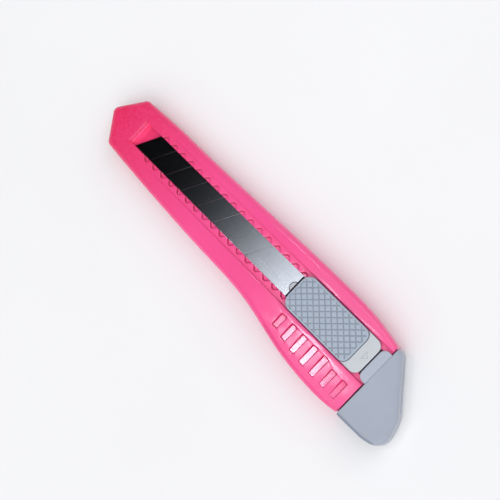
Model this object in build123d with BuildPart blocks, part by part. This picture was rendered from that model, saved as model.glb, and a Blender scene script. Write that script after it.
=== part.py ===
from build123d import *
import math
import os

# Snap-off craft knife for an 18 mm strip blade. Millimetres.
# Frame: origin on the flat back, under the blade's centre line, half way along the knife.
# +X towards the nose, +Y towards the finger side (the swollen side of the handle), +Z out of the front.
# Stations along the knife are given as the distance d back from the tip of the nose.

# ---------------------------------------------------------------- overall
LENGTH = 181.05         # nose tip to the end of the cap
NOSE_X = LENGTH / 2     # x of the nose tip
BODY_END = 160.0        # station of the housing's rear face
Z_PART = 5.0            # parting plane of the two shells
Z_NOSE = 10.35          # front face at the nose
Z_CREST = 12.2          # crest of the rims beside the thumb slide
EDGE_R = 2.8            # rounding of the front edges
BACK_R = 2.2            # rounding of the back edges

# ---------------------------------------------------------------- blade
BLADE_W = 18.0
BLADE_T = 0.5
BLADE_TIP = 17.2        # station of the retracted tip
SCORE_PITCH = 10.0
SCORE_N = 7
SCORE_0 = 32.2          # station of the first score line on the centre line
SCORE_DEG = 60.0
HOLE_D = 5.0
HOLE_AT = 113.7
Z_BLADE = 8.0           # underside of the blade

# ---------------------------------------------------------------- bay, slot and channel
BAY_HALF = 9.2
BAY_FRONT = 19.6        # foot of the ramp that rises to the nose passage
Z_FLOOR = 7.1
Z_LIP = 8.6             # underside of the lips that hold the blade down
Z_CHANNEL = 10.4        # top of the lips
SLOT_HALF = 5.4
SLOT_FRONT = 17.9       # foot of the window's sloping front wall
SLOT_TOP = 16.3         # head of that wall
CHANNEL_HALF = 8.35
POCKET_PITCH = 5.27
POCKET_0 = 29.25
POCKET_N = 18
POCKET_PEAK = 7.1
POCKET_DEPTH = 1.1
POCKET_LEAD = 0.5       # the pockets of the finger side lie this much further forward

# ---------------------------------------------------------------- slide
TRAVEL = 17 * POCKET_PITCH
SLIDE_FRONT, SLIDE_REAR = 115.0, 155.95
SLIDE_HALF = 8.05
PAD_REAR = 149.7
Z_SLIDE = 12.4
Z_PAD = 13.65           # face of the pad
GROOVE_H = 0.35         # depth of the crossing grooves in it
LOZENGE_PX, LOZENGE_PY = 3.375, 3.2
LOZENGE_AT = 116.95     # station of the first column of whole lozenges
PAD_R1, PAD_R2 = 4.2, 3.3   # corner radii of the pad, front and rear
PAD_TRAVEL = 0.8
CARRIER_FRONT, CARRIER_REAR = 109.6, 152.0
BUMP_AT = POCKET_0 + 17 * POCKET_PITCH
BAR_FRONT = 113.45       # the lock spring's bar shows ahead of the pad

# ---------------------------------------------------------------- cap
TONGUE_FRONT = 156.35
CAP_FRONT = 160.6
Z_CAP = 12.1

os.makedirs("parts", exist_ok=True)


def at(d, y):
    return (NOSE_X - d, y)


def station(d, z=0.0):
    """Cross-section plane at station d: sketch x is model Y, sketch y is model Z."""
    return Plane((NOSE_X - d, 0, z), x_dir=(0, 1, 0), z_dir=(1, 0, 0))


def crest(d):
    """Height of the rims: flush with the lips at the nose, rising smoothly to the handle."""
    t = min(max((d - 30) / 95, 0), 1)
    return Z_NOSE + (Z_CREST - Z_NOSE) * (3 * t * t - 2 * t**3)


def nearest(shapes, points):
    return [min(shapes, key=lambda v: (v.X - p[0]) ** 2 + (v.Y - p[1]) ** 2) for p in points]


# ================================================================ outline of the housing
TIP = at(-0.75, 0.1)
A1, B1 = at(8.9, 12.95), at(19.1, 13.75)
A2, B2 = at(9.2, -12.25), at(20.0, -12.75)
END1, END2 = at(BODY_END, 23.2), at(BODY_END, -11.3)

with BuildSketch(Plane.XY) as outline:
    with BuildLine():
        Line(TIP, A1)
        Line(A1, B1)
        Spline(
            B1, at(33.1, 14.75), at(51.5, 15.75), at(73.7, 16.6), at(92, 17.05), at(103.5, 18.15),
            at(115.9, 20.6), at(128, 22.95), at(143.8, 24.3), at(153, 24.15), END1,
            tangents=[(B1[0] - A1[0], B1[1] - A1[1]), (-1, -0.18)],
        )
        Line(END1, END2)
        Spline(
            END2, at(148.5, -13.35), at(136.8, -14.35), at(126, -14.5), at(112.7, -14.42),
            at(91.9, -14.05), at(65.9, -13.5), at(38.9, -13.05), B2,
            tangents=[(1, -0.19), (A2[0] - B2[0], A2[1] - B2[1])],
        )
        Line(B2, A2)
        Line(A2, TIP)
    make_face()
    fillet(nearest(outline.vertices(), [TIP]), 3.0)
    fillet(nearest(outline.vertices(), [A1, A2]), 2.5)

# Inner wall of the shells: flat facets about 1.8 mm inside the outline.
with BuildSketch(Plane.XY) as inner:
    with BuildLine():
        Polyline(
            at(4.5, 0), at(11.0, 10.2), at(20.0, 11.9), at(38.0, 13.1), at(60.0, 14.2), at(80.0, 14.9),
            at(95.0, 15.4), at(104.0, 16.3), at(116.0, 18.7), at(128.0, 21.1), at(143.0, 22.4),
            at(158.2, 21.4), at(158.2, -9.7), at(148.0, -11.5), at(130.0, -12.6), at(90.0, -12.15),
            at(38.0, -11.2), at(12.0, -10.0), close=True,
        )
    make_face()

# Crowned block: full height at the rims, falling away to both sides.
with BuildPart() as crown:
    for d in (-6, 15, 30, 46, 62, 78, 94, 110, 125, 145, 166):
        zc = crest(d)
        with BuildSketch(station(d)):
            with BuildLine():
                Polyline((-18, -2), (-18, zc - 0.5))
                Spline((-18, zc - 0.5), (-14, zc - 0.12), (-10.2, zc), tangents=[(1, 0.16), (1, 0)])
                Line((-10.2, zc), (10.2, zc))
                Spline((10.2, zc), (15, zc - 0.17), (19.5, zc - 0.62), (27, zc - 1.95), tangents=[(1, 0), (1, -0.23)])
                Polyline((27, zc - 1.95), (27, -2), (-18, -2))
            make_face()
    loft()

GRIPS = [  # front station, rear station, inner y, outer y
    (117.95, 120.75, 10.8, 16.6),
    (123.9, 126.7, 10.8, 17.9),
    (129.8, 132.65, 10.8, 19.0),
    (135.7, 138.6, 10.8, 19.6),
    (141.55, 144.4, 10.8, 20.0),
    (147.5, 150.35, 12.35, 20.1),
    (153.3, 156.05, 12.4, 20.1),
]
PINS = [(14.5, 11.0, 1.2), (60.0, 12.8, 1.25), (104.0, 14.4, 1.5), (146.0, 14.6, 1.5)]  # station, y, radius
PINS_B = [(14.5, -10.8, 0.9), (60.0, -11.3, 1.0), (104.0, -11.8, 1.2), (138.0, -11.9, 1.2)]

# ================================================================ hollows of the upper housing
# guide channel for the thumb slide, with the inner edges of the rims rounded;
# it runs out into the front face near the nose
with BuildPart() as channel:
    for d in (30, 46, 62, 78, 94, 110, 125, 145, 166):
        zc = max(crest(d), Z_CHANNEL + 0.04)
        r = min(0.7, 0.8 * (zc - Z_CHANNEL))
        w, k = CHANNEL_HALF, r * math.sqrt(0.5)
        with BuildSketch(station(d)):
            with BuildLine():
                Polyline((-w - r, zc), (-w - r, 18), (w + r, 18), (w + r, zc))
                ThreePointArc((w + r, zc), (w + r - k, zc - r + k), (w, zc - r))
                Polyline((w, zc - r), (w, Z_CHANNEL), (-w, Z_CHANNEL), (-w, zc - r))
                ThreePointArc((-w, zc - r), (-w - r + k, zc - r + k), (-w - r, zc))
            make_face()
    loft()

# ratchet pockets along both sides of the slot, with sloping walls
with BuildPart() as pocket:
    for z, s in ((Z_CHANNEL + 0.4, -0.14), (Z_CHANNEL - POCKET_DEPTH, 0.38)):
        with BuildSketch(Plane.XY.offset(z)):
            with BuildLine():
                Polyline(
                    (-2.62 + s, 4.9), (-0.62 + s * 0.6, POCKET_PEAK - s),
                    (0.62 - s * 0.6, POCKET_PEAK - s), (2.62 - s, 4.9), close=True,
                )
            make_face()
            fillet([v for v in vertices() if v.Y > 6], 0.45)
    loft()

# grip recesses with level floors and sloping walls
with BuildPart() as recesses:
    for n, (d1, d2, y1, y2) in enumerate(GRIPS):
        z0 = Z_CREST - (1.1, 1.1, 1.1, 1.1, 1.1, 1.0, 0.95)[n]
        xm, wf = NOSE_X - (d1 + d2) / 2, (d2 - d1) - 0.55
        for z, s in ((z0, 0.0), (z0 + 1.8, 0.72)):
            with BuildSketch(Plane.XY.offset(z)):
                with Locations((xm, (y1 + 0.2 + y2 - 0.1) / 2)):
                    RectangleRounded(wf + 2 * s, y2 - y1 - 0.3 + 2 * s, 0.35 + s * 0.6)
        loft()

# ================================================================ upper housing
with BuildPart() as upper_housing:
    with BuildSketch(Plane.XY.offset(Z_PART)):
        add(outline.sketch)
    extrude(amount=10)
    add(crown.part, mode=Mode.INTERSECT)
    rim = [
        e for e in upper_housing.edges()
        if e.bounding_box().min.Z > 8.0
        and not (abs(abs(e.position_at(0.5).Y) - 10.2) < 0.05 and e.length > 100)
        and e.bounding_box().max.X > NOSE_X - BODY_END + 1
    ]
    fillet(rim, EDGE_R)
    # a fine chamfer along the parting line
    seam = [
        e for e in upper_housing.edges()
        if e.bounding_box().max.Z < Z_PART + 0.01 and e.bounding_box().max.X > NOSE_X - BODY_END + 1
    ]
    chamfer(seam, 0.18)
    # hollow under the finger side
    with BuildSketch(Plane.XY.offset(Z_PART)):
        add(inner.sketch)
        with Locations(at(89.0, 0)):
            Rectangle(136, 60, mode=Mode.INTERSECT)
        with Locations(at(80, 10.8 + 20)):
            Rectangle(220, 40, mode=Mode.INTERSECT)
    extrude(amount=4.5, mode=Mode.SUBTRACT)
    # bosses for the pins of the back shell
    for d, y, r in PINS[1:]:
        with BuildSketch(Plane.XY.offset(Z_PART)):
            with Locations(at(d, y)):
                Circle(r + 1.1)
        extrude(amount=4.7)
    # guide channel
    add(channel.part, mode=Mode.SUBTRACT)
    # bay that the blade and its carrier run in, open at the rear; at the front its floor
    # rises to the passage through the nose, which is just deep enough for the blade
    zp = Z_BLADE - 0.1
    with BuildSketch(Plane.XZ.offset(-BAY_HALF)):
        with BuildLine():
            Polyline(
                at(-2, zp), at(SLOT_FRONT, zp), at(BAY_FRONT, Z_FLOOR), at(165, Z_FLOOR),
                at(165, Z_LIP), at(-2, Z_LIP), close=True,
            )
        make_face()
    extrude(amount=2 * BAY_HALF, mode=Mode.SUBTRACT)
    # long window in the front face, with a sloping front wall and a rounded head
    lean = math.atan2(Z_NOSE - Z_LIP, SLOT_FRONT - SLOT_TOP)
    hr = 0.8
    hx, hz = SLOT_TOP - hr * math.tan(lean / 2), Z_NOSE + 0.01 - hr
    with BuildSketch(Plane.XZ.offset(-SLOT_HALF)):
        with BuildLine():
            Line(at(hx, 18), at(hx, hz + hr))
            ThreePointArc(
                at(hx, hz + hr), at(hx + hr * math.sin(lean / 2), hz + hr * math.cos(lean / 2)),
                at(hx + hr * math.sin(lean), hz + hr * math.cos(lean)),
            )
            Polyline(
                at(hx + hr * math.sin(lean), hz + hr * math.cos(lean)), at(SLOT_FRONT, Z_LIP),
                at(SLOT_FRONT, Z_LIP - 0.4), at(165, Z_LIP - 0.4), at(165, 18), at(hx, 18),
            )
        make_face()
    extrude(amount=2 * SLOT_HALF, mode=Mode.SUBTRACT)
    # ratchet pockets along both sides of the slot
    with Locations(*[
        Location((NOSE_X - POCKET_0 + lead - i * POCKET_PITCH, 0, 0), (0, 0, turn))
        for i in range(POCKET_N) for turn, lead in ((0, POCKET_LEAD), (180, 0))
    ]):
        add(pocket.part, mode=Mode.SUBTRACT)
    # grip recesses
    add(recesses.part, mode=Mode.SUBTRACT)
    # sockets for the pins of the back shell
    for d, y, r in PINS + PINS_B:
        with BuildSketch(Plane.XY.offset(Z_PART - 0.5)):
            with Locations(at(d, y)):
                Circle(r)
        extrude(amount=4.2, mode=Mode.SUBTRACT)
upper_housing.part.label = "upper_housing"

# ================================================================ lower housing
with BuildPart() as lower_housing:
    with BuildSketch(Plane.XY):
        add(outline.sketch)
    extrude(amount=Z_PART)
    fillet([
        e for e in lower_housing.edges()
        if e.bounding_box().max.Z < 0.01 and e.bounding_box().max.X > NOSE_X - BODY_END + 1
    ], BACK_R)
    chamfer([
        e for e in lower_housing.edges()
        if e.bounding_box().min.Z > Z_PART - 0.01 and e.bounding_box().max.X > NOSE_X - BODY_END + 1
    ], 0.18)
    # hollow, with cross ribs that carry the floor of the bay
    with BuildSketch(Plane.XY.offset(1.8)):
        add(inner.sketch)
        for d in (12, 32, 52, 72, 92, 112, 132):
            with Locations(at(d, 0)):
                Rectangle(1.2, 60, mode=Mode.SUBTRACT)
        for d, y, r in PINS + PINS_B:
            with Locations(at(d, y)):
                Circle(r + 1.0, mode=Mode.SUBTRACT)
        # mouth for the lower plug of the end cap
        with Locations(at(158, 5)):
            Rectangle(6, 25)
    extrude(amount=4, mode=Mode.SUBTRACT)
    # pins
    for d, y, r in PINS + PINS_B:
        with BuildSketch(Plane.XY.offset(1.0)):
            with Locations(at(d, y)):
                Circle(r)
        extrude(amount=Z_PART + 3.5 - 1.0)
lower_housing.part.label = "lower_housing"

# ================================================================ blade
with BuildPart() as blade:
    z0, zm = Z_BLADE, Z_BLADE + BLADE_T / 2
    with BuildSketch(station(130.0)):
        with BuildLine():
            Polyline(
                (-9.0, z0), (-9.0, z0 + BLADE_T), (7.5, z0 + BLADE_T), (9.0, zm + 0.03),
                (9.0, zm - 0.03), (7.5, z0), close=True,
            )
        make_face()
    extrude(amount=120)
    rake = BLADE_W / math.tan(math.radians(SCORE_DEG))
    with BuildSketch(Plane.XY.offset(z0 - 1)):
        with BuildLine():
            Polyline(
                at(BLADE_TIP, 9.0), at(115.8, 9.0), at(120.3, 4.6), at(120.3, -6.4), at(117.7, -9.0),
                at(BLADE_TIP + rake, -9.0), close=True,
            )
        make_face()
    extrude(amount=3, mode=Mode.INTERSECT)
    # score lines
    c, s = math.cos(math.radians(SCORE_DEG)), math.sin(math.radians(SCORE_DEG))
    for i in range(SCORE_N):
        x = NOSE_X - SCORE_0 - i * SCORE_PITCH
        top = Plane((x - 11 * c, -11 * s, z0 + BLADE_T), x_dir=(-s, c, 0), z_dir=(c, s, 0))
        with BuildSketch(top):
            with BuildLine():
                Polyline((-0.16, 0.02), (0, -0.17), (0.16, 0.02), close=True)
            make_face()
        extrude(amount=22, mode=Mode.SUBTRACT)
    with BuildSketch(Plane.XY.offset(z0 - 1)):
        with Locations(at(HOLE_AT, 0.5)):
            Circle(HOLE_D / 2)
    extrude(amount=3, mode=Mode.SUBTRACT)
blade.part.label = "blade"

# ================================================================ blade carrier
Z_CARRIER = Z_BLADE - 0.1
with BuildPart() as blade_carrier:
    with BuildSketch(Plane.XY.offset(Z_FLOOR + 0.1)):
        with Locations(at((CARRIER_FRONT + CARRIER_REAR) / 2, 0)):
            Rectangle(CARRIER_REAR - CARRIER_FRONT, 17.8)
        chamfer(vertices(), 1.6)
    extrude(amount=Z_CARRIER - Z_FLOOR - 0.1)
    # side rails behind the blade
    with BuildSketch(Plane.XY.offset(Z_CARRIER)):
        for y in (-7.1, 7.1):
            with Locations(at(136.5, y)):
                Rectangle(27, 3.5)
    extrude(amount=0.6)
    # boss that picks up the hole of the blade
    with BuildSketch(Plane.XY.offset(Z_CARRIER)):
        with Locations(at(HOLE_AT, 0.5)):
            Circle(2.2)
    extrude(amount=0.85)
    fillet(blade_carrier.faces().sort_by(Axis.Z)[-1].edges(), 0.25)
    # holes for the two pegs of the thumb slide
    with BuildSketch(Plane.XY.offset(Z_FLOOR)):
        with Locations(at(126.0, 0), at(147.0, 0)):
            Circle(1.5)
    extrude(amount=2, mode=Mode.SUBTRACT)
blade_carrier.part.label = "blade_carrier"

# ================================================================ thumb slide
SLOT_FIT = SLOT_HALF - 0.3
Z_BASE = Z_CHANNEL + 0.1
Z_LEDGE = 9.5            # the lock spring lies on this ledge
LEG_AT, LEG_Y = 142.0, 3.2
PEG_AT = 132.5
with BuildPart() as thumb_slide:
    # plate under the pad
    with BuildSketch(Plane.XY.offset(Z_BASE)):
        with Locations(at((116.0 + 151) / 2, 0)):
            RectangleRounded(151 - 116.0, 14.2, 3.5)
        with Locations(at(146, 0)):
            Rectangle(10, 14.2)
    extrude(amount=1.1)
    # rear block, level with the rims
    with BuildSketch(Plane.XY.offset(Z_BASE)):
        with Locations(at((PAD_REAR + 0.15 + SLIDE_REAR) / 2, 0)):
            Rectangle(SLIDE_REAR - PAD_REAR - 0.15, 2 * SLIDE_HALF)
        fillet([v for v in vertices() if v.X < NOSE_X - 155], 3.5)
        # the block follows the rounded rear corners of the pad
        with Locations(at((SLIDE_FRONT + PAD_REAR + 0.15) / 2, 0)):
            RectangleRounded(PAD_REAR + 0.15 - SLIDE_FRONT, 2 * SLIDE_HALF + 0.3, PAD_R2 + 0.1, mode=Mode.SUBTRACT)
    extrude(amount=Z_SLIDE - Z_BASE)
    # corner pieces beside the rounded rear of the pad
    with BuildSketch(Plane.XY.offset(Z_BASE)):
        with Locations(at(148.3, 0)):
            Rectangle(4.0, 2 * SLIDE_HALF)
        with Locations(at((SLIDE_FRONT + PAD_REAR + 0.15) / 2, 0)):
            RectangleRounded(PAD_REAR + 0.15 - SLIDE_FRONT, 2 * SLIDE_HALF + 0.3, PAD_R2 + 0.15, mode=Mode.SUBTRACT)
    extrude(amount=Z_SLIDE - Z_BASE)
    # neck through the slot: a ledge below, a peg for the lock spring and a full block behind it
    with BuildSketch(Plane.XY.offset(Z_CARRIER)):
        with Locations(at((121.5 + 152) / 2, 0)):
            Rectangle(152 - 121.5, 2 * SLOT_FIT)
    extrude(amount=Z_LEDGE - Z_CARRIER)
    with BuildSketch(Plane.XY.offset(Z_LEDGE)):
        with Locations(at(PEG_AT, 0)):
            Circle(1.6)
        with Locations(at((137.0 + 152) / 2, 0)):
            Rectangle(152 - 137.0, 2 * SLOT_FIT)
    extrude(amount=Z_BASE - Z_LEDGE)
    # room for the pad's two cams and its legs
    with BuildSketch(Plane.XY.offset(8.6)):
        with Locations(at(125, 4.75), at(125, -4.75)):
            Rectangle(4.6, 1.5)
    extrude(amount=4, mode=Mode.SUBTRACT)
    with BuildSketch(Plane.XY.offset(Z_CARRIER + 0.1)):
        with Locations(at(LEG_AT, LEG_Y), at(LEG_AT, -LEG_Y)):
            Rectangle(2.2, 3.0)
    extrude(amount=9.4 - Z_CARRIER - 0.1, mode=Mode.SUBTRACT)
    with BuildSketch(Plane.XY.offset(9.4)):
        with Locations(at(LEG_AT, LEG_Y), at(LEG_AT, -LEG_Y)):
            Rectangle(2.2, 2.2)
    extrude(amount=4, mode=Mode.SUBTRACT)
    # pegs into the carrier
    with BuildSketch(Plane.XY.offset(Z_FLOOR + 0.1)):
        with Locations(at(126.0, 0), at(147.0, 0)):
            Circle(1.5)
    extrude(amount=Z_CARRIER - Z_FLOOR - 0.1)
    # rounded top edge of the block
    fillet([
        e for e in thumb_slide.edges()
        if e.bounding_box().min.Z > Z_SLIDE - 0.01 and e.bounding_box().min.X < NOSE_X - 150.5
    ], 0.35)
    # small raised triangle, pointing to the tail
    with BuildSketch(Plane.XY.offset(Z_SLIDE - 0.05)):
        with BuildLine():
            Polyline(at(152.7, 2.0), at(152.7, -2.0), at(154.95, 0), close=True)
        make_face()
        with BuildLine():
            Polyline(at(152.97, 1.38), at(152.97, -1.38), at(154.52, 0), close=True)
        make_face(mode=Mode.SUBTRACT)
    extrude(amount=0.05 + 0.12)
thumb_slide.part.label = "thumb_slide"

# ================================================================ grip pad
with BuildPart() as grip_pad:
    with BuildSketch(Plane.XY.offset(11.35)) as pad_outline:
        with Locations(at((SLIDE_FRONT + PAD_REAR) / 2, 0)):
            Rectangle(PAD_REAR - SLIDE_FRONT, 2 * SLIDE_HALF)
        fillet([v for v in vertices() if v.X > NOSE_X - 120], PAD_R1)
        fillet([v for v in vertices() if v.X < NOSE_X - 149], PAD_R2)
    extrude(amount=Z_PAD - 11.35)
    fillet(grip_pad.faces().sort_by(Axis.Z)[-1].edges(), 0.45)
    with BuildSketch(Plane.XY.offset(11.35)):
        with Locations(at((SLIDE_FRONT + PAD_REAR) / 2, 0)):
            RectangleRounded(PAD_REAR - SLIDE_FRONT - 1.5, 14.6, 3.4)
    extrude(amount=12.45 - 11.35, mode=Mode.SUBTRACT)
    # the skirt is cut away at the rear, where the plate meets the block
    with BuildSketch(Plane.XY.offset(11.0)):
        with Locations(at(148.2, 0)):
            Rectangle(4.2, 14.6)
    extrude(amount=12.45 - 11.0, mode=Mode.SUBTRACT)
    # crossing grooves that leave lozenges standing, ending short of the rounded edge
    with BuildSketch(Plane.XY.offset(Z_PAD)):
        with Locations(at((SLIDE_FRONT + PAD_REAR) / 2, 0)):
            Rectangle(PAD_REAR - SLIDE_FRONT - 1.5, 2 * SLIDE_HALF - 1.5)
        fillet([v for v in vertices() if v.X > NOSE_X - 120], PAD_R1 - 0.75)
        fillet([v for v in vertices() if v.X < NOSE_X - 148], PAD_R2 - 0.75)
        with Locations([
            at(LOZENGE_AT + i * LOZENGE_PX / 2, j * LOZENGE_PY / 2)
            for i in range(-2, 21) for j in range(-6, 7) if (i + j) % 2 == 0
        ]):
            Polygon((1.33, 0), (0, 1.26), (-1.33, 0), (0, -1.26), align=None, mode=Mode.SUBTRACT)
    extrude(amount=-GROOVE_H, mode=Mode.SUBTRACT)
    # cams that squeeze the arms of the lock spring
    for side in (1, -1):
        with BuildSketch(station(127.0)):
            with BuildLine():
                Polyline(
                    (side * 5.25, 12.5), (side * 5.25, 10.0), (side * 4.95, 10.0), (side * 4.35, 10.9),
                    (side * 4.35, 12.5), close=True,
                )
            make_face()
        extrude(amount=4.0)
    # legs with barbs
    with BuildSketch(Plane.XY.offset(8.9)):
        with Locations(at(LEG_AT, LEG_Y), at(LEG_AT, -LEG_Y)):
            Rectangle(2.0, 2.0)
    extrude(amount=12.5 - 8.9)
    with BuildSketch(Plane.XY.offset(8.9)):
        with Locations(at(LEG_AT, LEG_Y), at(LEG_AT, -LEG_Y)):
            Rectangle(2.0, 2.6)
    extrude(amount=0.4)
grip_pad.part.label = "grip_pad"

# ================================================================ lock spring
# Flat stamped steel: a root with a hole over the peg, two sprung arms with a rounded bump each,
# and a middle tongue whose bar lies across the slot just ahead of the pad.
with BuildPart() as lock_spring:
    with BuildSketch(Plane.XY.offset(Z_LEDGE + 0.1)):
        with Locations(at((128.5 + 136.4) / 2, 0)):
            RectangleRounded(136.4 - 128.5, 9.2, 0.8)
        with Locations(at(122.0, 0)):
            Rectangle(14.0, 2.8)
        with Locations(at((BAR_FRONT + 115.6) / 2, 0)):
            RectangleRounded(115.6 - BAR_FRONT, 10.6, 0.4)
        for side in (1, -1):
            with BuildLine():
                bump = BUMP_AT - (POCKET_LEAD if side > 0 else 0)
                FilletPolyline(
                    at(bump - 2.6, side * 3.8), at(bump - 2.0, side * 4.0), at(bump, side * 6.45),
                    at(bump + 2.45, side * 4.0), at(129.5, side * 4.0), radius=0.7,
                )
            trace(line_width=0.45)
        with Locations(at(PEG_AT, 0)):
            Circle(1.65, mode=Mode.SUBTRACT)
    extrude(amount=0.6)
lock_spring.part.label = "lock_spring"

# ================================================================ end cap
with BuildPart() as end_cap:
    with BuildSketch(Plane.XY.offset(0.5)) as cap_outline:
        with BuildLine():
            Line(at(CAP_FRONT, 23.5), at(CAP_FRONT, -11.2))
            Line(at(CAP_FRONT, -11.2), at(162.9, -10.4))
            Line(at(162.9, -10.4), at(177.6, 6.9))
            Spline(
                at(177.6, 6.9), at(180.0, 12.0), at(181.05, 17.0), at(179.4, 20.9), at(174.5, 22.95), at(168.0, 23.35),
                tangents=[(-14.7, 17.3), (1, 0.04)],
            )
            Line(at(168.0, 23.35), at(CAP_FRONT, 23.5))
        make_face()
        fillet(nearest(vertices(), [at(162.9, -10.4)]), 2.4)
    extrude(amount=Z_CAP - 0.5)
    fillet([
        e for e in end_cap.edges()
        if (e.bounding_box().min.Z > Z_CAP - 0.01 or e.bounding_box().max.Z < 0.51)
        and e.bounding_box().min.X < NOSE_X - CAP_FRONT - 0.5
    ], 1.8)
    # snapping slot in the slanted end
    ang = math.degrees(math.atan2(17.3, -14.7))
    nx, ny = -17.3 / math.hypot(17.3, 14.7), -14.7 / math.hypot(17.3, 14.7)
    mx, my = at(170.5, -1.45)
    with BuildSketch(Plane.XY.offset(5.8)):
        with Locations(Location((mx - nx * 1.0, my - ny * 1.0, 0), (0, 0, ang))):
            Rectangle(19.4, 7.0)
    extrude(amount=0.9, mode=Mode.SUBTRACT)
    # cored out from the front, beside the blade bay
    with BuildSketch(Plane.XY.offset(2.2)):
        with Locations(at(159.5 + 7.2, 15.4)):
            RectangleRounded(14.4, 10.2, 1.0)
    extrude(amount=7.8, mode=Mode.SUBTRACT)
    # plug into the bay
    with BuildSketch(Plane.XY.offset(Z_FLOOR + 0.1)):
        with Locations(at((155.6 + 161.5) / 2, 0)):
            Rectangle(161.5 - 155.6, 2 * BAY_HALF - 0.3)
        chamfer([v for v in vertices() if v.X > NOSE_X - 156], 1.0)
    extrude(amount=Z_LIP - Z_FLOOR - 0.2)
    # web in the slot and the tongue that closes the channel
    with BuildSketch(Plane.XY.offset(Z_LIP - 0.2)):
        with Locations(at((156.9 + 161.5) / 2, 0)):
            Rectangle(161.5 - 156.9, 2 * SLOT_HALF - 0.5)
    extrude(amount=Z_CHANNEL + 0.2 - Z_LIP + 0.2)
    with BuildSketch(Plane.XY.offset(Z_CHANNEL + 0.1)):
        with Locations(at((TONGUE_FRONT + 161.5) / 2, 0)):
            Rectangle(161.5 - TONGUE_FRONT, 15.0)
        fillet([v for v in vertices() if v.X > NOSE_X - 157], 2.7)
    extrude(amount=11.75 - Z_CHANNEL - 0.1)
    # plug into the mouth of the back shell
    with BuildSketch(Plane.XY.offset(1.9)):
        with Locations(at((150.9 + 161.5) / 2, 5)):
            Rectangle(161.5 - 150.9, 24.8)
        chamfer([v for v in vertices() if v.X > NOSE_X - 151], 1.0)
    extrude(amount=Z_PART - 0.1 - 1.9)
end_cap.part.label = "end_cap"

export_step(upper_housing.part, "parts/upper_housing.step")
export_step(lower_housing.part, "parts/lower_housing.step")
export_step(blade.part, "parts/blade.step")
export_step(blade_carrier.part, "parts/blade_carrier.step")
export_step(thumb_slide.part, "parts/thumb_slide.step")
export_step(grip_pad.part, "parts/grip_pad.step")
export_step(lock_spring.part, "parts/lock_spring.step")
export_step(end_cap.part, "parts/end_cap.step")
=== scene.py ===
import bpy
import bmesh
import math
from mathutils import Matrix, Vector
from mathutils.bvhtree import BVHTree


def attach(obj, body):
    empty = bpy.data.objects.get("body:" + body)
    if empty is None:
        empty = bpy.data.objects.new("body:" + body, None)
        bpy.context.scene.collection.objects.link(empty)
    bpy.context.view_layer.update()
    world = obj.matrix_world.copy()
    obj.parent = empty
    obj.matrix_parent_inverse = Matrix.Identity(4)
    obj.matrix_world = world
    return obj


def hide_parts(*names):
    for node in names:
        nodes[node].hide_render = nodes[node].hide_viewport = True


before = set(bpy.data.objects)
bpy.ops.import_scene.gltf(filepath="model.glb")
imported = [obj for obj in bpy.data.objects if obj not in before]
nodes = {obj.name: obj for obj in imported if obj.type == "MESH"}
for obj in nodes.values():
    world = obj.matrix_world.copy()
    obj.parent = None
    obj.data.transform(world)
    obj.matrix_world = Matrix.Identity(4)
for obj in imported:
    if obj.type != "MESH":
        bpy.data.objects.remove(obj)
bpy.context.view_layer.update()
scene = bpy.context.scene
scene.view_settings.view_transform = "Standard"
scene.view_settings.look = "None"

NOSE = 0.181050 / 2          # x of the nose tip, in metres


def st(d):
    """x of the station d millimetres behind the nose tip."""
    return NOSE - d * 0.001


# ================================================================ camera
cam_data = bpy.data.cameras.new("camera")
cam_data.sensor_width = 36.0
cam_data.lens = 74.88
cam_data.clip_start = 0.01
cam_data.clip_end = 30.0
cam = bpy.data.objects.new("camera", cam_data)
scene.collection.objects.link(cam)
axes = (Vector((-0.669534, -0.687072, -0.282236)), Vector((0.666552, -0.72343, 0.179882)),
        Vector((-0.32777, -0.067688, 0.94233)))
m = Matrix.Identity(4)
for i in range(3):
    for j in range(3):
        m[i][j] = axes[j][i]
m.translation = Vector((-0.136011, -0.02595, 0.40342))
cam.matrix_world = m
scene.camera = cam


# ================================================================ node helpers
def srgb(r, g, b):
    def f(c):
        c /= 255.0
        return c / 12.92 if c <= 0.04045 else ((c + 0.055) / 1.055) ** 2.4
    return (f(r), f(g), f(b), 1.0)


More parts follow.
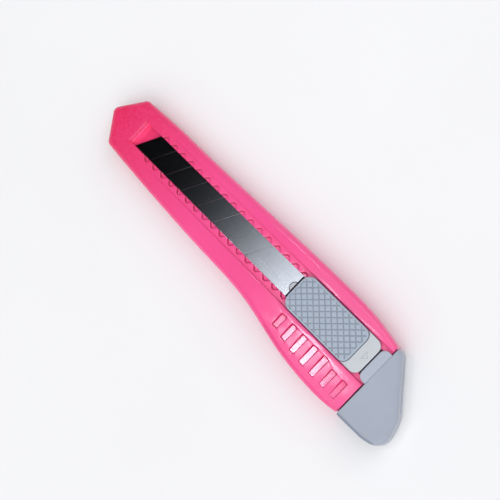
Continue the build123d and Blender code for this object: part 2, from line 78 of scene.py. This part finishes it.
class Nodes:
    """A small wrapper that keeps node building short."""

    def __init__(self, name):
        self.mat = bpy.data.materials.new(name)
        self.mat.use_nodes = True
        self.nt = self.mat.node_tree
        self.nt.nodes.clear()
        out = self.nt.nodes.new("ShaderNodeOutputMaterial")
        self.bsdf = self.nt.nodes.new("ShaderNodeBsdfPrincipled")
        self.nt.links.new(self.bsdf.outputs["BSDF"], out.inputs["Surface"])
        self.tc = self.nt.nodes.new("ShaderNodeTexCoord")

    def put(self, value, socket):
        if hasattr(value, "is_output"):
            self.nt.links.new(value, socket)
        else:
            socket.default_value = value

    def coords(self, scale=(1, 1, 1), rot=(0, 0, 0)):
        mp = self.nt.nodes.new("ShaderNodeMapping")
        mp.inputs["Scale"].default_value = scale
        mp.inputs["Rotation"].default_value = rot
        self.nt.links.new(self.tc.outputs["Object"], mp.inputs["Vector"])
        return mp.outputs["Vector"]

    def noise(self, scale, detail=2.0, rough=0.5, vec=None, distortion=0.0):
        n = self.nt.nodes.new("ShaderNodeTexNoise")
        n.inputs["Scale"].default_value = scale
        n.inputs["Detail"].default_value = detail
        n.inputs["Roughness"].default_value = rough
        n.inputs["Distortion"].default_value = distortion
        self.put(vec if vec is not None else self.tc.outputs["Object"], n.inputs["Vector"])
        return n.outputs["Fac"]

    def math(self, op, a, b=0.0, clamp=False):
        n = self.nt.nodes.new("ShaderNodeMath")
        n.operation = op
        n.use_clamp = clamp
        self.put(a, n.inputs[0])
        self.put(b, n.inputs[1])
        return n.outputs[0]

    def remap(self, v, a, b, c, d):
        n = self.nt.nodes.new("ShaderNodeMapRange")
        n.clamp = True
        self.put(v, n.inputs["Value"])
        for k, x in zip(("From Min", "From Max", "To Min", "To Max"), (a, b, c, d)):
            n.inputs[k].default_value = x
        return n.outputs["Result"]

    def band(self, v, a, b, soft):
        """1 between a and b, fading to 0 over soft on both sides."""
        return self.math("MULTIPLY", self.remap(v, a - soft, a, 0.0, 1.0), self.remap(v, b, b + soft, 1.0, 0.0))

    def steep(self, lo=0.55, hi=0.97):
        """1 on walls, 0 on faces that look up."""
        s = self.nt.nodes.new("ShaderNodeSeparateXYZ")
        self.nt.links.new(self.tc.outputs["Normal"], s.inputs[0])
        return self.remap(s.outputs[2], lo, hi, 1.0, 0.0)

    def mix(self, f, a, b):
        n = self.nt.nodes.new("ShaderNodeMix")
        n.data_type = "RGBA"
        self.put(f, n.inputs[0])
        self.put(a, n.inputs[6])
        self.put(b, n.inputs[7])
        return n.outputs[2]

    def times(self, a, tint):
        n = self.nt.nodes.new("ShaderNodeMix")
        n.data_type = "RGBA"
        n.blend_type = "MULTIPLY"
        n.inputs[0].default_value = 1.0
        self.put(a, n.inputs[6])
        n.inputs[7].default_value = tint
        return n.outputs[2]

    def xyz(self):
        s = self.nt.nodes.new("ShaderNodeSeparateXYZ")
        self.nt.links.new(self.tc.outputs["Object"], s.inputs[0])
        return s.outputs

    def bump(self, height, distance, strength=1.0, normal=None):
        n = self.nt.nodes.new("ShaderNodeBump")
        n.inputs["Strength"].default_value = strength
        n.inputs["Distance"].default_value = distance
        self.put(height, n.inputs["Height"])
        if normal is not None:
            self.put(normal, n.inputs["Normal"])
        return n.outputs["Normal"]

    def finish(self, color=None, rough=None, normal=None, **fixed):
        if color is not None:
            self.put(color, self.bsdf.inputs["Base Color"])
        if rough is not None:
            self.put(rough, self.bsdf.inputs["Roughness"])
        if normal is not None:
            self.put(normal, self.bsdf.inputs["Normal"])
        for k, v in fixed.items():
            self.bsdf.inputs[k.replace("_", " ")].default_value = v
        return self.mat


def scaled(c, k):
    return tuple(min(1.0, x * k) for x in c[:3]) + (1.0,)


def deeper(c, k):
    """A tint that makes the colour k times as light, and a little more saturated when it gets darker."""
    top = max(c[:3])
    return tuple(k * (x / top) ** (0.42 if k < 1 else 0.0) for x in c[:3]) + (1.0,)


# ================================================================ materials
def moulded(name, col, rough, gloss_var, mottling, wave, grain, sss=0.0, scratch=0.0, painted_groove_shade=None, painted_end_shade=None,
            painted_zones=()):
    """Injection-moulded plastic: faint flow mottling, slight waviness of the skin, fine mould grain, hair scratches,
    and optional painted shade and light: a darker end, darker grooves and listed darker or lighter zones.
    """
    n = Nodes(name)
    flow = n.noise(45.0, 4.0, 0.55, n.coords((0.6, 1.4, 1.0)), 0.6)
    fine = n.noise(900.0, 3.0)
    x, y, z = n.xyz()[:3]
    c = n.mix(n.remap(flow, 0.3, 0.7, 0.0, 1.0), scaled(col, 1.0 - mottling), scaled(col, 1.0 + mottling))
    if painted_end_shade is not None:
        # painted shade: the colour is painted darker towards one end, standing in for the light falling off there
        x0, x1, shaded_end_col = painted_end_shade
        o = n.mix(n.remap(flow, 0.3, 0.7, 0.0, 1.0), scaled(shaded_end_col, 1.0 - mottling), scaled(shaded_end_col, 1.0 + mottling))
        c = n.mix(n.remap(x, x0, x1, 0.0, 1.0), c, o)
    c = n.mix(n.remap(fine, 0.35, 0.7, 0.0, 0.35), c, scaled(col, 1.0 - 1.5 * mottling))
    # hair scratches in two directions
    s1 = n.noise(1.0, 2.0, 0.6, n.coords((120.0, 5200.0, 2600.0), (0.0, 0.0, 0.16)))
    s2 = n.noise(1.0, 2.0, 0.6, n.coords((4300.0, 160.0, 2600.0), (0.0, 0.0, -0.35)))
    sc = n.math("MAXIMUM", n.remap(s1, 0.70, 0.78, 0.0, 1.0), n.remap(s2, 0.71, 0.79, 0.0, 1.0))
    patch = n.remap(n.noise(70.0, 2.0), 0.45, 0.65, 0.0, 1.0)
    sc = n.math("MULTIPLY", sc, patch)
    if painted_groove_shade is not None:
        # painted shade: faces below the given height are painted darker, standing in for shade in the grooves
        z0, z1, dark = painted_groove_shade
        c = n.mix(n.remap(z, z0, z1, 1.0, 0.0), c, scaled(col, dark))
    r = n.remap(n.noise(260.0, 4.0, 0.6), 0.25, 0.75, rough - gloss_var, rough + gloss_var)
    # painted shade and light: listed zones are painted darker (painted shade on the walls of small hollows and in gaps)
    # or lighter (painted light); the walls of small hollows are also duller, as they are not polished in the mould
    if painted_zones:
        ay = n.math("ABSOLUTE", y)
        for (xa, xb), (ya, yb), (za, zb), both, (lo, hi), dark, dull in painted_zones:
            k = n.math("MULTIPLY", n.band(x, xa, xb, 2e-4), n.band(ay if both else y, ya, yb, 1e-4))
            k = n.math("MULTIPLY", k, n.band(z, za, zb, 5e-5))
            if hi:
                k = n.math("MULTIPLY", k, n.steep(lo, hi))
            c = n.mix(k, c, n.times(c, deeper(col, dark)))
            r = n.math("ADD", r, n.math("MULTIPLY", k, dull), clamp=True)
    r = n.math("ADD", r, n.math("MULTIPLY", sc, scratch), clamp=True)
    nr = n.bump(n.noise(95.0, 2.0, 0.4), wave)
    nr = n.bump(n.noise(5200.0, 3.0, 0.6), grain, normal=nr)
    nr = n.bump(sc, -scratch * 4e-6, normal=nr)
    mat = n.finish(c, r, nr, IOR=1.5)
    if sss:
        n.bsdf.inputs["Subsurface Weight"].default_value = sss
        n.bsdf.inputs["Subsurface Radius"].default_value = (1.0, 0.35, 0.45)
        n.bsdf.inputs["Subsurface Scale"].default_value = 0.0006
    return mat


ANY = (0, 0)
# painted shade and light: the ratchet pockets, grip recesses, rims beside the slide and the gap behind the slide are
# painted darker (painted shade); the floor ahead of the blade and the step behind it are painted lighter (painted
# light)
PINK_PAINTED_SHADE_AND_LIGHT = (
    # x range, y range, z range, both sides, steepness, painted colour factor (below 1 painted shade, above 1 painted
    # light), added roughness
    ((st(126), st(24)), (0.0053, 0.0076), (0.0093, 0.01036), True, (0.55, 0.95), 0.60, 0.30),      # ratchet pockets
    ((st(158.5), st(115.5)), (0.0095, 0.0222), (0.0110, 0.0121), False, (0.60, 0.97), 0.60, 0.30),   # grip recesses
    ((st(160.5), st(112)), (0.0080, 0.0086), (0.0086, 0.01165), True, (0.60, 0.97), 0.80, 0.20),     # rims beside the slide
    ((st(156.4), st(155.85)), (0.0, 0.0065), (0.0060, 0.01060), True, ANY, 0.06, 0.40),              # gap behind the slide
    ((st(24), st(18.1)), (0.0, 0.0056), (0.0060, 0.0087), True, ANY, 1.16, 0.0),                     # floor ahead of the blade
    ((st(18.1), st(17.4)), (0.0, 0.0056), (0.0060, 0.0098), True, ANY, 1.55, 0.0),                   # step behind it
)
# painted shade: the pink is painted darker from d 66 towards the nose
pink = moulded("body_pink", (0.925, 0.092, 0.285, 1), 0.115, 0.02, 0.03, 2.5e-6, 4e-7, scratch=0.10,
               painted_end_shade=(st(66), st(5), (0.765, 0.027, 0.101, 1)), painted_zones=PINK_PAINTED_SHADE_AND_LIGHT)
# painted shade: the slide's faces in the gap at its rear are painted near black
slide_grey = moulded("slide_grey", (0.53, 0.554, 0.573, 1), 0.36, 0.05, 0.02, 8e-6, 2.5e-6, scratch=0.08,
                     painted_zones=(((st(156.1), st(155.8)), (0.0, 0.0081), (0.007, 0.0122), True, (0.5, 0.9), 0.08, 0.2),))
# painted shade and light on the cap: its long side is painted darker (painted shade), the tongue lighter (painted
# light), and the tongue's front wall near black (painted shade in the gap)
CAP_PAINTED_SHADE_AND_LIGHT = (
    ((st(182), st(160.2)), (0.0212, 0.0250), (-0.0010, 0.0125), False, (0.86, 0.97), 0.72, 0.10),     # long side
    ((st(160.35), st(156.6)), (0.0, 0.0080), (0.0100, 0.0119), True, ANY, 1.20, 0.04),               # tongue
    ((st(156.62), st(156.2)), (0.0, 0.0080), (0.0070, 0.0116), True, (0.5, 0.9), 0.08, 0.2),         # its front wall
)
cap_grey = moulded("cap_grey", (0.340, 0.372, 0.436, 1), 0.34, 0.05, 0.025, 1.0e-5, 2.5e-6, scratch=0.08,
                   painted_zones=CAP_PAINTED_SHADE_AND_LIGHT)
# painted shade: the front of the carrier, under and ahead of the slide's front, is painted near black
carrier_grey = moulded("carrier_grey", (0.66, 0.67, 0.71, 1), 0.42, 0.05, 0.02, 8e-6, 2.5e-6,
                       painted_zones=(((st(125), st(108)), (0.0, 0.009), (0.0070, 0.00855), True, ANY, 0.10, 0.3),))
# painted shade in the grooves between the lozenges of the pad
pad_grey = moulded("pad_grey", (0.375, 0.43, 0.505, 1), 0.40, 0.05, 0.03, 6e-6, 3e-6, scratch=0.05,
                   painted_groove_shade=(0.01331, 0.01358, 0.76))


def steel():
    n = Nodes("blade_steel")
    x, y, z = n.xyz()[:3]
    # rolled and ground finish: fine lines along the strip, a finer cross grain, cloudy temper
    grain = n.noise(1.0, 4.0, 0.65, n.coords((90.0, 6500.0, 6500.0)))
    cross = n.noise(1.0, 3.0, 0.6, n.coords((5200.0, 260.0, 260.0)))
    cloud = n.noise(140.0, 3.0, 0.5)
    both = n.math("ADD", n.math("MULTIPLY", grain, 0.6), n.math("MULTIPLY", cross, 0.4))
    c = n.mix(n.remap(both, 0.35, 0.65, 0.0, 1.0), (0.56, 0.59, 0.64, 1), (0.68, 0.71, 0.76, 1))
    c = n.mix(n.remap(cloud, 0.4, 0.75, 0.0, 0.25), c, (0.50, 0.52, 0.56, 1))
    r = n.remap(both, 0.3, 0.7, 0.07, 0.10)
    # painted shade and light: the score grooves are painted in a tone that runs from near black at the nose to light
    # grey towards the tail, following how the blade's reflections fall; they are pressed in, not ground, so they are
    # also duller
    groove = n.remap(z, 0.00848, 0.008496, 1.0, 0.0)
    groove_painted_ramp = n.math("ADD", n.remap(x, st(98), st(57), 0.72, 0.14), n.remap(x, st(57), st(30), 0.0, -0.10))
    dark = n.nt.nodes.new("ShaderNodeVectorMath")
    dark.operation = "SCALE"
    dark.inputs[0].default_value = (0.62, 0.64, 0.68)
    n.put(groove_painted_ramp, dark.inputs["Scale"])
    c = n.mix(groove, c, dark.outputs[0])
    r = n.math("ADD", r, n.math("MULTIPLY", groove, 0.25), clamp=True)
    nr = n.bump(grain, 7e-7)
    nr = n.bump(cross, 5e-7, normal=nr)
    return n.finish(c, r, nr, Metallic=1.0)


# painted shade: the lock spring is near black, so that its front bar across the slot stands in for the dark shadow line
# ahead of the slide
def painted_black_spring():
    n = Nodes("spring_steel")
    g = n.noise(1.0, 3.0, 0.6, n.coords((300.0, 3000.0, 3000.0)))
    c = n.mix(n.remap(g, 0.3, 0.7, 0.0, 1.0), (0.004, 0.004, 0.007, 1), (0.010, 0.010, 0.014, 1))
    r = n.remap(n.noise(700.0, 3.0), 0.3, 0.7, 0.34, 0.46)
    return n.finish(c, r, n.bump(g, 1.5e-6), Metallic=0.0, Specular_IOR_Level=0.2)


blade_steel, spring_steel = steel(), painted_black_spring()


# ================================================================ skins
def sharp_edges(bm, degrees):
    lim = math.radians(degrees)
    return [e for e in bm.edges if len(e.link_faces) == 2 and e.calc_face_angle(0.0) > lim]


def skin(name, width, mat, body, move=None, degrees=30.0, segments=2, only=None, cuts=(),
         crease=40.0, wide=None, level=None):
    """A copy of a CAD node with its facets joined, its sharp edges broken and its shading made even."""
    src = nodes[name]
    me = src.data.copy()
    ob = bpy.data.objects.new(name + "_skin", me)
    scene.collection.objects.link(ob)
    bm = bmesh.new()
    bm.from_mesh(me)
    bmesh.ops.remove_doubles(bm, verts=bm.verts, dist=3e-6)
    bmesh.ops.dissolve_degenerate(bm, edges=bm.edges, dist=2e-6)
    bmesh.ops.dissolve_limit(bm, angle_limit=math.radians(0.4), verts=bm.verts, edges=bm.edges)
    for d in cuts:
        bmesh.ops.bisect_plane(
            bm, geom=bm.verts[:] + bm.edges[:] + bm.faces[:], dist=1e-7,
            plane_co=(st(d), 0, 0), plane_no=(1, 0, 0),
        )
    if move is not None:
        for v in bm.verts:
            v.co = move(v.co)
    if wide is not None:
        # some edges are rounded more than the rest
        pick, offset = wide
        bmesh.ops.bevel(
            bm, geom=[e for e in sharp_edges(bm, 20.0) if pick(e)], offset=offset, offset_type="OFFSET", segments=4,
            profile=0.5, affect="EDGES", clamp_overlap=True, loop_slide=True, miter_outer="SHARP",
        )
    if width:
        before = BVHTree.FromBMesh(bm)
        bmesh.ops.bevel(
            bm, geom=[e for e in sharp_edges(bm, degrees) if only is None or only(e)], offset=width, offset_type="OFFSET", segments=segments,
            profile=0.5, affect="EDGES", clamp_overlap=False, loop_slide=True, miter_outer="SHARP",
        )
        # where short edges meet, a bevel can throw a corner off the surface: put it back
        for v in bm.verts:
            near, _, _, far = before.find_nearest(v.co)
            if near is not None and far > 0.6 * width:
                v.co = near
    bmesh.ops.triangulate(bm, faces=[f for f in bm.faces if len(f.verts) > 4])
    bmesh.ops.recalc_face_normals(bm, faces=bm.faces)
    for f in bm.faces:
        f.smooth = True
    for e in bm.edges:
        e.smooth = not (len(e.link_faces) == 2 and e.calc_face_angle(0.0) > math.radians(crease))
    if level is not None:
        # level floors keep their own normals, so they mirror evenly
        for f in bm.faces:
            if f.normal.z > 0.9999 and level(f.calc_center_median()):
                for e in f.edges:
                    if len(e.link_faces) == 2 and e.calc_face_angle(0.0) > math.radians(1.0):
                        e.smooth = False
    bm.to_mesh(me)
    bm.free()
    me.materials.clear()
    me.materials.append(mat)
    for p in me.polygons:
        p.material_index = 0
    wn = ob.modifiers.new("even", "WEIGHTED_NORMAL")
    wn.keep_sharp = True
    wn.weight = 80
    bpy.context.view_layer.update()
    ev = ob.evaluated_get(bpy.context.evaluated_depsgraph_get())
    done = bpy.data.meshes.new_from_object(ev)
    ob.modifiers.clear()
    ob.data = done
    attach(ob, body)
    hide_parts(name)
    return ob


REAR_R = 1.5


def round_rear(co):
    """Rounds the two rear corners of the housing in plan."""
    u = (st(160.0 - REAR_R) - co.x) * 1000
    if u <= 0:
        return co
    cut = REAR_R - math.sqrt(max(REAR_R ** 2 - min(u, REAR_R) ** 2, 0.0))
    y = co.y * 1000
    if y > 19.5:
        y -= cut * min((y - 19.5) / 3.5, 1.0)
    elif y < -8.9:
        y += cut * min((-8.9 - y) / 2.2, 1.0)
    return Vector((co.x, y * 0.001, co.z))


def level_top(e):
    """Edges of the pad's level face and of the grooves cut in it."""
    return all(v.co.z > 0.01364 for v in e.verts)


REAR_CUTS = (158.6, 159.0, 159.35, 159.6, 159.8, 159.92)


def grip_floor(co):
    """Whether a point lies on the floors of the grip recesses."""
    return co.x < st(115) and co.y > 0.009 and 0.0110 < co.z < 0.01185


skin("upper_housing", 0.00012, pink, "housing", round_rear, cuts=REAR_CUTS, level=grip_floor)
skin("lower_housing", 0.00012, pink, "housing", round_rear, cuts=REAR_CUTS)
skin("thumb_slide", 0.00010, slide_grey, "slider")
skin("grip_pad", 0.00008, pad_grey, "pad", only=level_top)
skin("end_cap", 0.00015, cap_grey, "cap")

skin("blade", 0.0, blade_steel, "slider", crease=8.0)

for name, mat in (("blade_carrier", carrier_grey), ("lock_spring", spring_steel)):
    o = nodes[name]
    o.data.materials.clear()
    o.data.materials.append(mat)

# ================================================================ floor
fn = Nodes("floor_pale")
fcol = fn.mix(fn.remap(fn.noise(6.0, 3.0), 0.3, 0.7, 0.0, 1.0), (0.86, 0.85, 0.835, 1), (0.89, 0.88, 0.865, 1))
fmat = fn.finish(fcol, 0.75, fn.bump(fn.noise(900.0, 3.0), 2e-5))
me = bpy.data.meshes.new("floor")
s = 4.0
me.from_pydata([(-s, -s, 0), (s, -s, 0), (s, s, 0), (-s, s, 0)], [], [(0, 1, 2, 3)])
floor = bpy.data.objects.new("floor", me)
scene.collection.objects.link(floor)
me.materials.append(fmat)

# ================================================================ light
# A soft sky: bright overhead and towards the tail and the finger side, falling off towards the nose.
world = bpy.data.worlds.new("world")
scene.world = world
world.use_nodes = True
wt = world.node_tree
bg = wt.nodes["Background"]
tc = wt.nodes.new("ShaderNodeTexCoord")
sep = wt.nodes.new("ShaderNodeSeparateXYZ")
wt.links.new(tc.outputs["Generated"], sep.inputs[0])


def wmath(op, a, b=0.0):
    n = wt.nodes.new("ShaderNodeMath")
    n.operation = op
    for v, sck in ((a, n.inputs[0]), (b, n.inputs[1])):
        if hasattr(v, "is_output"):
            wt.links.new(v, sck)
        else:
            sck.default_value = v
    return n.outputs[0]


def profile(value, stops):
    """Piecewise-linear curve of degrees to brightness."""
    t = wmath("MULTIPLY_ADD", value, 0.5 / math.pi)
    t.node.inputs[2].default_value = 0.5
    ramp = wt.nodes.new("ShaderNodeValToRGB")
    cr = ramp.color_ramp
    cr.interpolation = "LINEAR"
    top = max(v for _, v in stops)
    cr.elements[0].position = stops[0][0] / 360.0 + 0.5
    cr.elements[1].position = stops[-1][0] / 360.0 + 0.5
    for deg, _ in stops[1:-1]:
        cr.elements.new(deg / 360.0 + 0.5)
    for e, (_, v) in zip(cr.elements, stops):
        e.color = (v / top,) * 3 + (1.0,)
    wt.links.new(t, ramp.inputs["Fac"])
    return wmath("MULTIPLY", ramp.outputs["Color"], top)


along = profile(wmath("ARCTAN2", sep.outputs[0], sep.outputs[2]), [
    (-95, 0.45), (-60, 0.95), (-25, 1.2), (5, 1.3), (14.2, 1.35), (16.3, 1.22), (17.6, 0.82), (18.9, 0.42), (20.3, 0.18),
    (21.7, 0.045), (23.6, 0.006), (25.5, 0.001), (43, 0.001), (47, 0.25), (60, 0.60), (95, 0.65),
])
across = profile(wmath("ARCTAN2", sep.outputs[1], sep.outputs[2]), [(-95, 0.85), (-40, 0.95), (0, 1.0), (60, 1.30), (95, 1.1)])
wt.links.new(wmath("MULTIPLY", along, across), bg.inputs["Strength"])
bg.inputs["Color"].default_value = (0.905, 0.925, 0.975, 1)


def area(name, loc, target, size, power, color=(1, 1, 1)):
    ld = bpy.data.lights.new(name, "AREA")
    ld.shape = "RECTANGLE"
    ld.size, ld.size_y = size
    ld.energy = power
    ld.color = color
    lo = bpy.data.objects.new(name, ld)
    scene.collection.objects.link(lo)
    lo.location = loc
    lo.rotation_euler = (Vector(target) - Vector(loc)).to_track_quat("-Z", "Y").to_euler()
    return lo


def radiance(L, size):
    """Power of an area light of that radiance (area lights emit over a half space)."""
    return L * math.pi * size[0] * size[1]


# a soft window over the finger side, seen in the level floors of the grip recesses
size = (0.098, 0.080)
area("lamp", (0.234, 0.154, 1.2), (-0.042, 0.012, 0.0), size, radiance(26.0, size), (1.0, 1.0, 1.02))
# its dimmer surround, seen in the rounded finger side between the recesses
size = (0.13, 0.19)
area("surround", (0.243, 0.325, 1.2), (-0.042, 0.012, 0.0), size, radiance(4.6, size), (1.0, 1.0, 1.02))
size = (1.1, 0.9)
area("key", (-0.75, 0.65, 1.15), (0, 0, 0), size, radiance(1.2, size), (1.0, 0.99, 0.98))
# a narrow strip that glints along the inner edges of the rims
size = (0.030, 0.22)
area("strip", (0.3645, -0.42, 1.0), (0.0045, 0.0, 0.0), size, radiance(24.0, size), (1.0, 1.0, 1.02))
size = (0.9, 0.8)
area("fill", (0.10, -1.05, 0.80), (0, 0, 0), size, radiance(0.85, size), (1.0, 0.99, 0.99))
